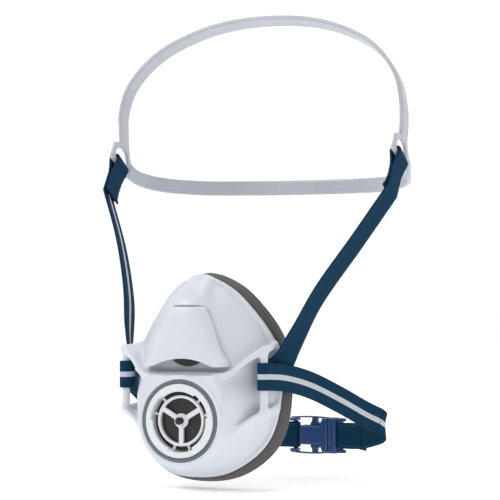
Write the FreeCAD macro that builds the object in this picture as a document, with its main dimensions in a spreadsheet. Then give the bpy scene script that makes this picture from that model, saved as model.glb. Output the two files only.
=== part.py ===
import FreeCAD, Part
import math
import os

import Sketcher
from FreeCAD import Placement, Vector

# Half-mask respirator facepiece on its head harness, in millimetres.
# Origin: on the filter socket's axis, in the gasket's front plane. +Z up, the mask looks along -Y,
# +X is the wearer's left.

SIZES = {
    # shell and face seal
    "shell_wall": 2.2, "front_wall": 4.5, "seal_wall": 2.0, "fit_gap": 0.2, "cup_gap": 0.45,
    "rim_centre_y": -75.5, "rim_centre_z": 28.7, "rim_radius": 115.6,
    "flange_width": 2.6, "flange_rise": 2.0, "band_depth": 13.0, "lip_width": 8.0,
    # filter socket, all on the Y axis
    "gasket_inner": 20.3, "gasket_outer": 22.7, "gasket_front": -0.2, "gasket_depth": 2.8,
    "socket_outer": 20.2, "socket_bore": 17.0, "socket_front": -0.6, "socket_depth": 14.6,
    "lug_inner": 15.9, "lug_depth": 1.8, "ledge_inner": 15.8, "ledge_front": 4.0, "ledge_depth": 2.0,
    "seat_inner": 12.3, "seat_outer": 13.9, "seat_front": 1.2, "seat_depth": 2.8,
    "hub_radius": 4.0, "hub_bore": 1.7, "spoke_width": 2.6, "rib_width": 1.3,
    "flap_radius": 15.4, "flap_front": 4.1, "flap_thick": 1.0,
    "nipple_radius": 1.4, "nipple_head": 2.1, "nipple_tip": -3.6,
    # exhalation valve, on an axis parallel to Y
    "exhale_height": 43.2, "port_radius": 13.1, "exhale_seat_inner": 11.0, "exhale_seat_outer": 13.0,
    "exhale_front": 10.6, "exhale_depth": 5.0, "exhale_hub": 3.0,
    "disc_radius": 13.9, "disc_front": 9.4, "disc_thick": 1.1, "stem_radius": 1.4, "stem_head": 2.2,
    # hood over the exhalation valve
    "hood_wall": 1.6, "hood_back": 12.0, "hood_gap": 0.3,
    # strap bars on the shell
    "bar_x": 42.0, "bar_y": 18.0, "bar_radius": 2.2, "bar_low": 5.0, "bar_high": 38.0,
    "ledge_plate": 3.0, "strap_height": 24.0,
    # webbing and head cradle
    "strap_width": 15.0, "strap_thick": 1.2, "cradle_width": 10.0, "cradle_thick": 2.2,
    "slot_x": 90.0, "slot_y": 103.0, "slot_z": 150.0, "slot_lean": 33.0,
    "slot_long": 17.0, "slot_tall": 4.8, "slot_rim": 3.5,
    # neck buckle
    "buckle_x": 13.4, "buckle_y": 125.0, "buckle_z": -15.0,
    "body_long": 24.4, "body_tall": 21.0, "body_thick": 8.0,
    "cavity_tall": 18.6, "cavity_thick": 5.0, "cavity_from": 8.5,
    "window_from": 12.0, "window_to": 20.0, "prong_thick": 3.6, "prong_high": 11.4,
}

# Right half outlines of the shell from crown to chin, as (x, z) at each depth y.
SHELL_SECTIONS = (
    (0.0, ((0, 24.5), (12, 24.5), (20.5, 23.5), (24, 17), (24.8, 0), (21, -13), (12.5, -22), (0, -25.2))),
    (12.0, ((0, 27.5), (14, 27.5), (24.5, 26.5), (29, 20), (30.2, 2), (26, -13.5), (15, -23.6), (0, -27.3))),
    (12.5, ((0, 64), (9.5, 61.5), (17.5, 47), (25.8, 31), (30.4, 6), (26, -13.7), (15, -23.7), (0, -27.5))),
    (20.0, ((0, 72), (10.5, 68), (21, 53.5), (31.3, 35), (33, 9), (30.3, -13.5), (18.5, -26), (0, -30))),
    (30.0, ((0, 78.5), (12, 74), (26, 58.3), (37, 39), (39.7, 11), (34, -16.5), (20, -28.5), (0, -32.5))),
    (44.0, ((0, 80.5), (13, 76.5), (29, 59.8), (41, 40), (43.5, 12), (36, -17.5), (20.5, -30.5), (0, -34.5))),
)

# The face seal's band behind the rim, in the same form.
SEAL_SECTIONS = (
    (10.0, ((0, 65), (11, 61), (19.5, 49.5), (29.5, 33), (33, 6), (29, -15), (17.5, -26.5), (0, -30))),
    (28.0, ((0, 78.5), (13, 74.5), (27, 58.7), (38.5, 40), (41.7, 12), (35.5, -17.5), (20.5, -30), (0, -34))),
    (42.0, ((0, 80), (14, 76), (30, 61), (42, 41), (45.5, 12), (38, -18.5), (21.5, -32), (0, -36))),
    (56.0, ((0, 79), (14, 75.7), (30, 60.5), (41.5, 41), (44, 12), (37, -17.5), (20.5, -30), (0, -34))),
)

# Outlines of the hood from its skirt to its top, as (height z, half width, front y).
HOOD_LEVELS = (
    (29.3, 25.0, 1.6),
    (33.0, 24.6, 2.4),
    (40.0, 20.5, 2.8),
    (50.0, 16.5, 3.2),
    (58.0, 12.2, 4.2),
    (62.0, 9.8, 6.0),
)
# The shell's nose above the hood, in the same form.
NOSE_LEVELS = ((62.4, 10.0, 5.8), (70.0, 9.0, 12.0), (77.5, 6.0, 22.0))
NOSE_BACK = 27.0
LUG_ANGLES = ((58, 127), (178, 247), (298, 367))
SPOKE_ANGLES = (30, 150, 270)
RIB_SPREAD = 17

doc = FreeCAD.newDocument("Respirator")
sheet = doc.addObject("Spreadsheet::Sheet", "Sizes")
for row, (alias, number) in enumerate(SIZES.items(), start=1):
    sheet.set(f"A{row}", alias)
    sheet.set(f"B{row}", str(number))
    sheet.setAlias(f"B{row}", alias)
doc.recompute()
parts = []


def size(alias):
    """A driving dimension, read back from the sheet."""
    return float(sheet.get(alias))


def keep(label, item):
    """Name a finished sub-part, which its file is named after."""
    item.Label = label
    parts.append(item)
    return item


def keep_shape(label, shape):
    """A sub-part whose shape is worked out by Part's own functions."""
    item = doc.addObject("Part::Feature", label + "_shape")
    item.Shape = shape
    item.Placement = Placement()
    return keep(label, item)


# ---- PartDesign helpers: rings and discs on axes parallel to Y ----

def origin_plane(body, role):
    return next(item for item in body.Origin.OriginFeatures if item.Role == role)


def facing_sketch(body, name, front):
    """A sketch that faces -Y, at the depth that the expression gives."""
    sketch = body.newObject("Sketcher::SketchObject", name)
    sketch.AttachmentSupport = [(origin_plane(body, "XZ_Plane"), "")]
    sketch.MapMode = "FlatFace"
    sketch.setExpression("AttachmentOffset.Base.z", f"-({front})")
    return sketch


def circle(sketch, radius):
    """A circle centred on the sketch's origin."""
    index = sketch.addGeometry(Part.Circle(Vector(0, 0, 0), Vector(0, 0, 1), 10), False)
    sketch.addConstraint(Sketcher.Constraint("Coincident", index, 3, -1, 1))
    number = sketch.addConstraint(Sketcher.Constraint("Radius", index, 10))
    sketch.setExpression(f"Constraints[{number}]", radius)


def pad_back(body, name, front, depth, radii):
    """Pad circles from the front depth towards +Y."""
    sketch = facing_sketch(body, name + "_outline", front)
    for radius in radii:
        circle(sketch, radius)
    pad = body.newObject("PartDesign::Pad", name)
    pad.Profile = sketch
    pad.setExpression("Length", depth)
    pad.Reversed = True
    return pad


def ring_body(label, front, depth, outer, inner):
    body = doc.addObject("PartDesign::Body", label + "_body")
    pad_back(body, label + "_ring", f"Sizes.{front}", f"Sizes.{depth}",
             (f"Sizes.{outer}", f"Sizes.{inner}"))
    return keep(label, body)


# ---- Part helpers ----

def tube(outer, inner, front, depth, height=0.0):
    """A ring about an axis parallel to Y."""
    start = Vector(0, front, height)
    along = Vector(0, 1, 0)
    ring = Part.makeCylinder(outer, depth, start, along)
    if inner > 0:
        ring = ring.cut(Part.makeCylinder(inner, depth, start, along))
    return ring


def arc_block(inner, outer, front, depth, start_angle, end_angle):
    """A ring's stretch between two angles, counted from +X towards +Z."""
    ends = [math.radians(angle) for angle in (start_angle, (start_angle + end_angle) / 2, end_angle)]
    rims = [[Vector(radius * math.cos(a), front, radius * math.sin(a)) for a in ends]
            for radius in (inner, outer)]
    edges = [Part.Arc(*rims[0]).toShape(), Part.makeLine(rims[0][2], rims[1][2]),
             Part.Arc(rims[1][2], rims[1][1], rims[1][0]).toShape(), Part.makeLine(rims[1][0], rims[0][0])]
    return Part.Face(Part.Wire(edges)).extrude(Vector(0, depth, 0))


def spoke(inner, outer, width, front, depth, angle, height=0.0):
    """A radial bar between two radii."""
    bar = Part.makeBox(outer - inner, depth, width, Vector(inner, front, -width / 2))
    bar.rotate(Vector(0, 0, 0), Vector(0, 1, 0), -angle)
    bar.translate(Vector(0, 0, height))
    return bar


def inset_points(half, inset):
    """Close a right half outline by its mirror image and move it inwards."""
    loop = list(half) + [(-x, z) for x, z in half[-2:0:-1]]
    count = len(loop)
    moved = []
    for i in range(count):
        before, after = loop[i - 1], loop[(i + 1) % count]
        along = Vector(after[0] - before[0], 0, after[1] - before[1]).normalize()
        moved.append((loop[i][0] + along.z * inset, loop[i][1] - along.x * inset))
    return moved


def closed_curve(points, y):
    curve = Part.BSplineCurve()
    curve.interpolate([Vector(x, y, z) for x, z in points], PeriodicFlag=True)
    return Part.Wire(curve.toShape())


def section_solid(sections, inset=0.0, push=0.0, beyond=0.0):
    """Loft outlines at several depths, inset by a wall, with the front faces pushed back."""
    last = len(sections) - 1
    wires = []
    for i, (y, half) in enumerate(sections):
        depth = y + (push if y < 15 else 0.3 * push * (i < last))
        depth += beyond * ((i == last) - (i == 0))
        wires.append(closed_curve(inset_points(half, inset), depth))
    return Part.makeLoft(wires, True, True)


def rim_roller(extra=0.0):
    """The wide cylinder whose back surface the rim lies on."""
    start = Vector(-80, size("rim_centre_y"), size("rim_centre_z"))
    return Part.makeCylinder(size("rim_radius") + extra, 160, start, Vector(1, 0, 0))


def mirrored(shape):
    return shape.mirror(Vector(0, 0, 0), Vector(1, 0, 0))


# ---- the facepiece ----

def strap_bar():
    """The wearer's left bar and the two plates that carry it."""
    x, y, low, high = size("bar_x"), size("bar_y"), size("bar_low"), size("bar_high")
    plate = size("ledge_plate")
    bar = Part.makeCylinder(size("bar_radius"), high - low, Vector(x, y, low))
    corners = ((26, 14), (x - 1, y - 4.5), (x + 2, y - 1.5), (x + 2, y + 5), (x, y + 19), (33, 33), (27, 20))
    wire = Part.makePolygon([Vector(cx, cy, low) for cx, cy in corners + corners[:1]])
    low_plate = Part.Face(wire).extrude(Vector(0, 0, plate))
    high_plate = low_plate.copy()
    high_plate.translate(Vector(0, 0, high - low - plate))
    return bar.fuse([low_plate, high_plate])


def make_outer_shell():
    roller = rim_roller()
    body = section_solid(SHELL_SECTIONS).common(roller)
    flange_zone = roller.cut(rim_roller(-size("flange_width")))
    flange = section_solid(SHELL_SECTIONS, -size("flange_rise")).common(flange_zone)
    bar = strap_bar()
    nose = Part.makeLoft([hood_wire(level, 0, NOSE_BACK) for level in NOSE_LEVELS], True, True)
    shape = body.fuse([flange, nose, bar.common(roller), mirrored(bar).common(roller)])
    hollow = section_solid(SHELL_SECTIONS, size("shell_wall"), size("shell_wall"))
    hollow = hollow.cut(Part.makeBox(200, 20, 200, Vector(-100, size("front_wall") - 20, -100)))
    shape = shape.cut(hollow)
    groove_depth = size("gasket_front") + size("gasket_depth") + 0.1
    cuts = [tube(size("gasket_inner") - 0.05, 0, -5, 20),
            tube(size("gasket_outer") + 0.05, 0, -5, 5 + groove_depth),
            tube(size("port_radius"), 0, 5, 20, size("exhale_height"))]
    for cut in cuts:
        shape = shape.cut(cut)
    return keep_shape("outer_shell", shape.removeSplitter())


def make_face_seal():
    """The soft band that meets the face, and the cup of the same moulding that lines the shell."""
    gap, wall = size("shell_wall") + size("cup_gap"), size("seal_wall")
    roller = rim_roller()
    lining = section_solid(SHELL_SECTIONS, gap, gap + 0.3).cut(
        section_solid(SHELL_SECTIONS, gap + wall, gap + wall + 0.3))
    front = size("front_wall") + size("fit_gap")
    plate = section_solid(SHELL_SECTIONS, gap, gap).common(
        Part.makeBox(200, wall, 200, Vector(-100, front, -100)))
    cup = lining.common(roller).cut(Part.makeBox(200, 40, 200, Vector(-100, front - 40, -100)))
    cup = cup.fuse(plate)
    outer = section_solid(SEAL_SECTIONS)
    back = rim_roller(size("band_depth"))
    band = outer.common(back).cut(section_solid(SEAL_SECTIONS, wall, 0, 1)).cut(roller)
    lip_zone = back.cut(rim_roller(size("band_depth") - wall))
    lip = outer.common(lip_zone).cut(section_solid(SEAL_SECTIONS, size("lip_width"), 0, 1))
    bridge_zone = rim_roller(wall).cut(roller)
    bridge = outer.common(bridge_zone).cut(section_solid(SEAL_SECTIONS, wall + 3.4, 0, 1))
    keep_shape("face_seal", band.fuse([lip, bridge]))
    cup = cup.cut(bridge)
    cup = cup.cut(tube(size("gasket_inner"), 0, -5, 20))
    cup = cup.cut(tube(size("port_radius") + 2, 0, 5, 20, size("exhale_height")))
    keep_shape("face_seal_cup", cup)


def make_socket():
    front, depth = size("socket_front"), size("socket_depth")
    body = tube(size("socket_outer"), size("socket_bore"), front, depth)
    pieces = [arc_block(size("lug_inner"), size("socket_bore") + 0.5, front, size("lug_depth"), *ends)
              for ends in LUG_ANGLES]
    pieces.append(tube(size("socket_bore") + 0.5, size("ledge_inner"), size("ledge_front"),
                       size("ledge_depth")))
    return keep_shape("bayonet_socket", body.fuse(pieces).removeSplitter())


def make_inhalation_seat():
    front, depth = size("seat_front"), size("seat_depth")
    back = front + depth
    ring = tube(size("seat_outer"), size("seat_inner"), front, depth)
    pieces = [tube(size("hub_radius"), 0, front + 0.4, 2.0)]
    for angle in SPOKE_ANGLES:
        pieces.append(spoke(2.0, size("seat_inner") + 0.6, size("spoke_width"), front + 0.4, 2.0, angle))
        for side in (-RIB_SPREAD, RIB_SPREAD):
            pieces.append(spoke(size("seat_outer") - 0.5, size("socket_bore") - 0.1, size("rib_width"),
                                back - 1.6, 1.6, angle + side))
    shape = ring.fuse(pieces).cut(tube(size("hub_bore"), 0, -5, 20))
    return keep_shape("inhalation_seat", shape.removeSplitter())


def make_inhalation_valve():
    flap_front = size("flap_front")
    flap = tube(size("flap_radius"), 0, flap_front, size("flap_thick"))
    tip = size("nipple_tip")
    stem = tube(size("nipple_radius"), 0, tip + 1, flap_front - tip - 0.5)
    head = tube(size("nipple_head"), 0, -1.6, 1.2)
    cap = Part.makeCone(0.9, size("nipple_radius"), 1.2, Vector(0, tip, 0), Vector(0, 1, 0))
    return keep_shape("inhalation_valve", flap.fuse([stem, head, cap]).removeSplitter())


def make_exhalation_seat():
    height, front = size("exhale_height"), size("exhale_front")
    ring = tube(size("exhale_seat_outer"), size("exhale_seat_inner"), front, size("exhale_depth"), height)
    pieces = [tube(size("exhale_hub"), 0, front + 1.0, 2.4, height)]
    pieces += [spoke(2.2, size("exhale_seat_inner") + 0.6, 2.0, front + 1.0, 2.4, angle, height)
               for angle in (90, 210, 330)]
    shape = ring.fuse(pieces).cut(tube(size("hub_bore"), 0, 0, 30, height))
    return keep_shape("exhalation_seat", shape.removeSplitter())


def make_exhalation_valve():
    height, front, thick = size("exhale_height"), size("disc_front"), size("disc_thick")
    disc = tube(size("disc_radius"), 0, front, thick, height)
    stem = tube(size("stem_radius"), 0, front + thick / 2, 9.0, height)
    head = tube(size("stem_head"), 0, 16.2, 1.6, height)
    return keep_shape("exhalation_valve", disc.fuse([stem, head]).removeSplitter())


def hood_wire(level, inset, back):
    z, half, front = level
    half, front = half - inset, front + inset
    side = front + 0.55 * (back - front)
    points = [Vector(half, back, z), Vector(half, side, z), Vector(half - 2.5, front + 2.2, z),
              Vector(half * 0.55, front + 0.4, z), Vector(0, front, z), Vector(-half * 0.55, front + 0.4, z),
              Vector(2.5 - half, front + 2.2, z), Vector(-half, side, z), Vector(-half, back, z)]
    curve = Part.BSplineCurve()
    curve.interpolate(points)
    return Part.Wire([curve.toShape(), Part.makeLine(points[-1], points[0])])


def make_valve_cover():
    back, wall = size("hood_back") - size("hood_gap"), size("hood_wall")
    outer = Part.makeLoft([hood_wire(level, 0, back) for level in HOOD_LEVELS], True, True)
    top = HOOD_LEVELS[-1]
    inner_levels = list(HOOD_LEVELS)
    inner_levels[0] = (HOOD_LEVELS[0][0] - 0.5, HOOD_LEVELS[0][1], HOOD_LEVELS[0][2])
    inner_levels[-1] = (top[0] - wall, top[1] + 0.3, top[2] - 0.6)
    inner = Part.makeLoft([hood_wire(level, wall, back + 1) for level in inner_levels], True, True)
    arch = Part.makeCylinder(26, 20, Vector(0, -6, 7.2), Vector(0, 1, 0))
    arch = arch.common(Part.makeBox(38, 20, 30, Vector(-19, -6, 10)))
    return keep_shape("valve_cover", outer.cut(inner).cut(arch).removeSplitter())


# ---- webbing and cradle ----

def smooth_stations(route, count):
    """Even stations on a smooth curve through the route's points."""
    curve = Part.BSplineCurve()
    curve.interpolate([Vector(*point) for point in route])
    return curve.discretize(Number=count)


def ribbon(stations, across, width, thick):
    """A flat band along stations, its width along the direction at each station."""
    wires = []
    last = len(stations) - 1
    for i, (point, side) in enumerate(zip(stations, across)):
        along = stations[min(i + 1, last)] - stations[max(i - 1, 0)]
        along.normalize()
        side = Vector(side) - along * along.dot(Vector(side))
        side.normalize()
        face = along.cross(side)
        half_side, half_face = side * (width / 2), face * (thick / 2)
        corners = [point + half_side + half_face, point - half_side + half_face,
                   point - half_side - half_face, point + half_side - half_face]
        wires.append(Part.makePolygon(corners + corners[:1]))
    return Part.makeLoft(wires, True, True)


def blend_directions(first, second, count, start=0.0, end=1.0):
    """Directions that turn smoothly from one to the other between two fractions of the way."""
    result = []
    for i in range(count):
        share = min(max((i / (count - 1) - start) / (end - start), 0), 1)
        share = share * share * (3 - 2 * share)
        result.append(Vector(first) * (1 - share) + Vector(second) * share)
    return result


def slot_frame():
    """The wearer's left cradle slot: its centre, the way down the strap and the slot's long way."""
    lean = math.radians(size("slot_lean"))
    centre = Vector(size("slot_x"), size("slot_y"), size("slot_z"))
    return centre, Vector(0, -math.sin(lean), -math.cos(lean)), Vector(0, math.cos(lean), -math.sin(lean))


def slot_point(down, out):
    centre, way_down, _ = slot_frame()
    return centre + way_down * down + Vector(out, 0, 0)


def make_upper_strap(label, flip):
    """A sewn loop through the cradle slot, then down to the shell's bar and behind it."""
    bar = size("slot_tall") / 2 + size("slot_rim") / 2
    turn = 2.9
    loop = [slot_point(26, -0.75), slot_point(14, -0.75), slot_point(8, -2.0)]
    loop += [slot_point(bar - turn * math.sin(a), -turn * math.cos(a))
             for a in (math.radians(step) for step in range(0, 181, 30))]
    loop += [slot_point(8, 2.0), slot_point(14, 0.65), slot_point(27, 0.65)]
    x, y = size("bar_x"), size("bar_y")
    reach = size("bar_radius") + 0.2 + size("strap_thick") / 2
    route = [tuple(loop[-1]), (74.5, 74, 98), (59, 54, 67), (51.8, 40.5, 45), (45.9, 31, 29),
             (40.8, 25.3, 24.6), (x - reach, y + 2.6, size("strap_height"))]
    path = smooth_stations(route, 22)
    stations = loop + path[1:]
    _, _, slot_way = slot_frame()
    across = [slot_way] * len(loop) + blend_directions(slot_way, (0, 0, -1), len(path) - 1, 0.55, 0.97)
    shape = ribbon(stations, across, size("strap_width"), size("strap_thick"))
    return keep_shape(label, mirrored(shape) if flip else shape)


def bar_wrap():
    """Stations from behind the bar, round its front edge, to its outer side."""
    x, y = size("bar_x"), size("bar_y")
    reach = size("bar_radius") + 0.2 + size("strap_thick") / 2
    angles = [math.radians(180 + step) for step in range(0, 181, 30)]
    wrap = [Vector(x + reach * math.cos(a), y + reach * math.sin(a), size("strap_height"))
            for a in angles]
    return [wrap[0] + Vector(0, 0.9, 0)] + wrap


def neck_strap(route, count):
    """From the bar's wrap back round the wearer's neck."""
    wrap = bar_wrap()
    path = smooth_stations([tuple(wrap[-1])] + route, count)
    stations = wrap + path[1:]
    across = [Vector(0, 0, -1)] * len(stations)
    return ribbon(stations, across, size("strap_width"), size("strap_thick"))


def buckle_point(along, out, up=0.0):
    return Vector(size("buckle_x") + along, size("buckle_y") + out, size("buckle_z") + up)


FEMALE_BAR, MALE_BAR, PIN_RADIUS = 2.8, 31.5, 1.4


def make_neck_straps():
    reach = PIN_RADIUS + 0.2 + size("strap_thick") / 2
    right = neck_strap([(49, 30, 23), (55.5, 50, 18.5), (64, 75, 9), (72, 96, -0.5), (76.5, 105, -4.5)], 16)
    keep_shape("left_neck_strap", right)
    width, thick = size("strap_width"), size("strap_thick")
    back = smooth_stations([(76.9, 106, -5), (77.5, 110, -7.2), (74, 114.5, -10.2), (66, 118, -13),
                            (61, 120.3, -14.4)], 12)
    keep_shape("left_strap_return", ribbon(back, [Vector(0, 0, -1)] * 12, width, thick))
    turn = [buckle_point(MALE_BAR + reach * math.sin(a), -reach * math.cos(a))
            for a in (math.radians(-step) for step in range(0, 181, 30))]
    lead = [Vector(59.4, 120.9, -14.7), Vector(53, 122.2, -15)]
    tail = [buckle_point(MALE_BAR + 8, 2.4), buckle_point(MALE_BAR + 16, 3.4, -1.5)]
    end = lead + turn + tail
    keep_shape("left_strap_end", ribbon(end, [Vector(0, 0, -1)] * len(end), width, thick))
    other = mirrored(neck_strap([(49, 30, 23), (54.5, 50, 18.5), (57, 75, 9), (47, 103, -3.5), (22, 120, -12),
                                 (-4, 122.8, -15)], 22))
    turn = [buckle_point(FEMALE_BAR + reach * math.sin(a), -reach * math.cos(a))
            for a in (math.radians(step) for step in range(0, 181, 30))]
    back = [buckle_point(-8, 1.4), buckle_point(-20, -0.2)]
    loop = turn + back
    loop_shape = ribbon(loop, [Vector(0, 0, 1)] * len(loop), width, thick)
    lead = ribbon([Vector(3.9, 122.8, -15), turn[0]], [Vector(0, 0, 1)] * 2, width, thick)
    keep_shape("right_neck_strap", other.fuse([lead, loop_shape]).removeSplitter())


def make_cradle():
    """Crown arch, level rear band and a slotted web at each side, moulded as one."""
    width, thick = size("cradle_width"), size("cradle_thick")
    arch_half = [(90, 104.5, 157), (91, 106, 174), (86, 110, 193.5), (70, 115.5, 212.5), (44, 120, 225.5),
                 (18, 122, 231)]
    route = arch_half + [(-x, y, z) for x, y, z in reversed(arch_half)]
    stations = smooth_stations(route, 33)
    arch = ribbon(stations, [Vector(0, 0.93, -0.36)] * 33, width, thick)
    rear_half = [(90, 111.6, 144.4), (88.8, 121, 140), (82, 136, 136.5), (64, 153, 134.5), (34, 164, 134)]
    route = rear_half + [(-x, y, z) for x, y, z in reversed(rear_half)]
    stations = smooth_stations(route, 33)
    rear = ribbon(stations, [Vector(0, 0, 1)] * 33, width * 0.9, thick)
    centre, way_down, slot_way = slot_frame()
    long, tall, rim = size("slot_long"), size("slot_tall"), size("slot_rim")
    plate = Part.makeBox(thick, long + 2 * rim, tall + 2 * rim,
                         Vector(-thick / 2, -long / 2 - rim, -tall / 2 - rim))
    slot = Part.makeBox(thick * 3, long, tall, Vector(-thick * 1.5, -long / 2, -tall / 2))
    plate = plate.fuse(Part.makeBox(thick, width, 8, Vector(-thick / 2, -width / 2, tall / 2 + 1)))
    plate = plate.cut(slot)
    plate.rotate(Vector(0, 0, 0), Vector(1, 0, 0), -size("slot_lean"))
    plate.translate(centre)
    shape = arch.fuse([rear, plate, mirrored(plate)])
    keep_shape("head_cradle", shape.removeSplitter())


# ---- neck buckle, built from Part primitives bound to the sheet ----

def box(name, lengths, corner):
    """A box whose sizes and place are expressions, its corner counted from the buckle's origin."""
    item = doc.addObject("Part::Box", name)
    for side, text in zip(("Length", "Width", "Height"), lengths):
        item.setExpression(side, text)
    for axis, text in zip("xyz", corner):
        item.setExpression(f"Placement.Base.{axis}", f"Sizes.buckle_{axis} + ({text})")
    return item


def upright_pin(name, along, tall):
    """A round bar across the buckle for the webbing to turn on."""
    pin = doc.addObject("Part::Cylinder", name)
    pin.Radius = PIN_RADIUS
    pin.setExpression("Height", tall)
    pin.setExpression("Placement.Base.x", f"Sizes.buckle_x + {along}")
    pin.setExpression("Placement.Base.y", "Sizes.buckle_y")
    pin.setExpression("Placement.Base.z", f"Sizes.buckle_z - ({tall}) / 2")
    return pin


def fuse(name, items):
    item = doc.addObject("Part::MultiFuse", name)
    item.Shapes = items
    item.Refine = True
    return item


def cut(name, base, tool):
    item = doc.addObject("Part::Cut", name)
    item.Base = base
    item.Tool = tool
    item.Refine = True
    return item


def make_female():
    tall, thick, long = "Sizes.body_tall", "Sizes.body_thick", "Sizes.body_long"
    body = box("female_block", (long, thick, tall), ("0", f"-{thick} / 2", f"-{tall} / 2"))
    cavity = box("female_cavity", (long, "Sizes.cavity_thick", "Sizes.cavity_tall"),
                 ("Sizes.cavity_from", "-Sizes.cavity_thick / 2", "-Sizes.cavity_tall / 2"))
    gap_long = "Sizes.window_to - Sizes.window_from"
    side_window = box("female_side_windows", (gap_long, "Sizes.cavity_thick", f"{tall} + 10"),
                      ("Sizes.window_from", "-Sizes.cavity_thick / 2", f"-{tall} / 2 - 5"))
    face_windows = [box(f"female_face_window_{name}", (gap_long, f"{thick} + 10", "4.6"),
                        ("Sizes.window_from", f"-{thick} / 2 - 5", start))
                    for name, start in (("upper", "4.2"), ("lower", "-8.8"))]
    strap_hole = box("female_strap_hole", ("7.6", f"{thick} + 10", "16.4"),
                     ("-1", f"-{thick} / 2 - 5", "-8.2"))
    tools = fuse("female_hollows", [cavity, side_window, strap_hole] + face_windows)
    hollow = cut("female_hollowed", body, tools)
    pin = upright_pin("female_pin", FEMALE_BAR, "17")
    keep("buckle_female", fuse("female_body", [hollow, pin]))


def make_male():
    tall = "Sizes.body_tall + 3"
    flange = box("male_flange", ("2.6", "Sizes.body_thick", tall),
                 ("Sizes.body_long + 0.1", "-Sizes.body_thick / 2", f"-({tall}) / 2"))
    arms = [box(f"male_arm_{name}", ("8", "3", "1.8"), ("Sizes.body_long + 2", "-1.5", start))
            for name, start in (("upper", "8.2"), ("lower", "-10"))]
    pin = upright_pin("male_pin", MALE_BAR, "18")
    tongue = box("male_tongue", ("9", "3", "6"), ("Sizes.body_long - 8.5", "-1.5", "-3"))
    keep("buckle_male", fuse("male_body", [flange, pin, tongue] + arms))


def make_prongs():
    """Two sprung arms with heads that catch in the female body's side windows."""
    for name, sign in (("upper", 1), ("lower", -1)):
        arm_low = "5.6" if sign > 0 else "-7.4"
        arm = box(f"prong_arm_{name}", ("12.2", "Sizes.prong_thick", "1.8"),
                  ("Sizes.window_from + 0.2", "-Sizes.prong_thick / 2", arm_low))
        head_low = "5.6" if sign > 0 else "-Sizes.prong_high"
        head = box(f"prong_head_{name}", ("5.4", "Sizes.prong_thick", "Sizes.prong_high - 5.6"),
                   ("Sizes.window_to - 5.8", "-Sizes.prong_thick / 2", head_low))
        keep(f"buckle_prong_{name}", fuse(f"prong_{name}", [arm, head]))


def check_and_write():
    doc.recompute()
    for item in doc.Objects:
        if {"Invalid", "Error"} & set(item.State):
            raise RuntimeError(f"{item.Name} failed: {item.State}")
    os.makedirs("parts", exist_ok=True)
    for item in parts:
        shape = item.Shape
        if shape.isNull() or not shape.isValid():
            raise RuntimeError(f"{item.Label} has no valid shape")
        if len(shape.Solids) != 1:
            raise RuntimeError(f"{item.Label} has {len(shape.Solids)} solids")
        print(f"{item.Label}: {shape.Volume:.0f} mm3")
        shape.exportStep(f"parts/{item.Label}.step")


make_outer_shell()
make_face_seal()
ring_body("socket_gasket", "gasket_front", "gasket_depth", "gasket_outer", "gasket_inner")
make_socket()
make_inhalation_seat()
make_inhalation_valve()
make_exhalation_seat()
make_exhalation_valve()
make_valve_cover()
make_upper_strap("left_upper_strap", False)
make_upper_strap("right_upper_strap", True)
make_neck_straps()
make_cradle()
make_female()
make_male()
make_prongs()
check_and_write()
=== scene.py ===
import itertools
import math

import bmesh
import bpy
import numpy as np
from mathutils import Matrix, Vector


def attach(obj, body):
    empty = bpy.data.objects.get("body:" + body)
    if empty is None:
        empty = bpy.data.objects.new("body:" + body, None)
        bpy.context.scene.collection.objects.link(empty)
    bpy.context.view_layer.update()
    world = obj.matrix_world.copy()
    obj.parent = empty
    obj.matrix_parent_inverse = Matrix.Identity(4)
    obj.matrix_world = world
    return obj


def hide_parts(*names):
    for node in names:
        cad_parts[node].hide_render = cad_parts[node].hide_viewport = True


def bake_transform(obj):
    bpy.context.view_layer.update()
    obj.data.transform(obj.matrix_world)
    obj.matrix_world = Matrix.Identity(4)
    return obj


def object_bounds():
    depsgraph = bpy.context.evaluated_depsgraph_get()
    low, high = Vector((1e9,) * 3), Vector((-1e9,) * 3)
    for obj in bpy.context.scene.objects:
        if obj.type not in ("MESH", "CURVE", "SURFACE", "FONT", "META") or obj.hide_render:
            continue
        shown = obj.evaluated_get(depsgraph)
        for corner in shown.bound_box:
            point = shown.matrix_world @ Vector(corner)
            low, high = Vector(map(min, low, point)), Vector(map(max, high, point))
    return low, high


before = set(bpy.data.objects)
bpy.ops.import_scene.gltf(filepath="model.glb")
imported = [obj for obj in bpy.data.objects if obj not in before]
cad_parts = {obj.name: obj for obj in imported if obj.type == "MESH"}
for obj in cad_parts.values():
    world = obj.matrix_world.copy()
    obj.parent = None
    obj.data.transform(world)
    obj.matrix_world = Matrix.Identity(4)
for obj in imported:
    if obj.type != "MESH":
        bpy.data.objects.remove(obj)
cad_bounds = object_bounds()

# Half-mask respirator on its head harness. Shapes are worked out in millimetres in the frame's axes:
# the filter socket is on the Y axis and faces -Y, +Z is up and +X is the wearer's left.
MM = 0.001
FINE = 0.45
MIRROR = np.array((-1, 1, 1))

# ---- distance fields, and the surface net that turns one into a mesh ----


class Field:
    """A box of evenly spaced points, on which a shape is a signed distance in millimetres."""

    def __init__(self, low, high, step):
        self.step = step
        self.axes = [np.arange(a - 2 * step, b + 3 * step, step) for a, b in zip(low, high)]
        self.x, self.y, self.z = np.meshgrid(*self.axes, indexing="ij", sparse=True)


def union(a, b, soft=0.0):
    """Both shapes together, with a fillet of about the soft width where they meet."""
    if soft <= 0:
        return np.minimum(a, b)
    share = np.clip(0.5 + 0.5 * (b - a) / soft, 0, 1)
    return b * (1 - share) + a * share - soft * share * (1 - share)


def common(a, b, soft=0.0):
    """What two shapes share, with softened edges."""
    return -union(-a, -b, soft)


def cut(a, b, soft=0.0):
    """The first shape without the second, with softened edges."""
    return -union(-a, b, soft)


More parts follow.
